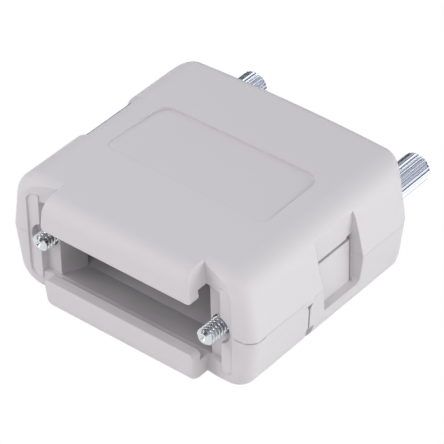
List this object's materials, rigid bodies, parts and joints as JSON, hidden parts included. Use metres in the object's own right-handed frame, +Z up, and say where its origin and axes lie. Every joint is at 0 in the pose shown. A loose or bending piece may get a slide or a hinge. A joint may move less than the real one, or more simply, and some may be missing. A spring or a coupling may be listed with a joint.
{
  "type": "d-sub connector hood",
  "caption": "Two-part moulded plastic hood for a D-sub connector, with two captive knurled jackscrews, side latches and a cable clamp inside.",
  "frame": {"origin": "midway between the two jackscrews, in the plane where the connector's flange sits", "axes": "+Y to the rear, where the cable leaves; +Z up, square to the parting plane; +X to the right when the connector's end is faced"},
  "size_m": [0.0472, 0.0536, 0.0212],
  "materials": {
    "plastic": "fine matt texture",
    "zinc_steel": "bright blue zinc plate",
    "spring_steel": "plain",
    "clamp_plastic": "plain"
  },
  "bodies": {
    "hood": {"upper_shell": "plastic", "lower_shell": "plastic", "clamp_bar_upper": "clamp_plastic", "clamp_bar_lower": "clamp_plastic", "clamp_screw_right": "zinc_steel", "clamp_screw_left": "zinc_steel", "clamp_nut_right": "zinc_steel", "clamp_nut_left": "zinc_steel"},
    "right_clip": {"retaining_clip_right": "spring_steel"},
    "right_screw": {"jackscrew_right": "zinc_steel"},
    "left_clip": {"retaining_clip_left": "spring_steel"},
    "left_screw": {"jackscrew_left": "zinc_steel"}
  },
  "joints": [
    {"name": "right_screw_slide", "type": "slide", "parent": "hood", "child": "right_clip", "axis": [0, 1, 0], "range_m": [-0.0003, 0.0037]},
    {"name": "right_screw_spin", "type": "hinge", "parent": "right_clip", "child": "right_screw", "pos_m": [0.01665, 0.02, 0], "axis": [0, 1, 0], "continuous": true},
    {"name": "left_screw_slide", "type": "slide", "parent": "hood", "child": "left_clip", "axis": [0, 1, 0], "range_m": [-0.00183, 0.00217]},
    {"name": "left_screw_spin", "type": "hinge", "parent": "left_clip", "child": "left_screw", "pos_m": [-0.01665, 0.02, 0], "axis": [0, 1, 0], "continuous": true}
  ]
}
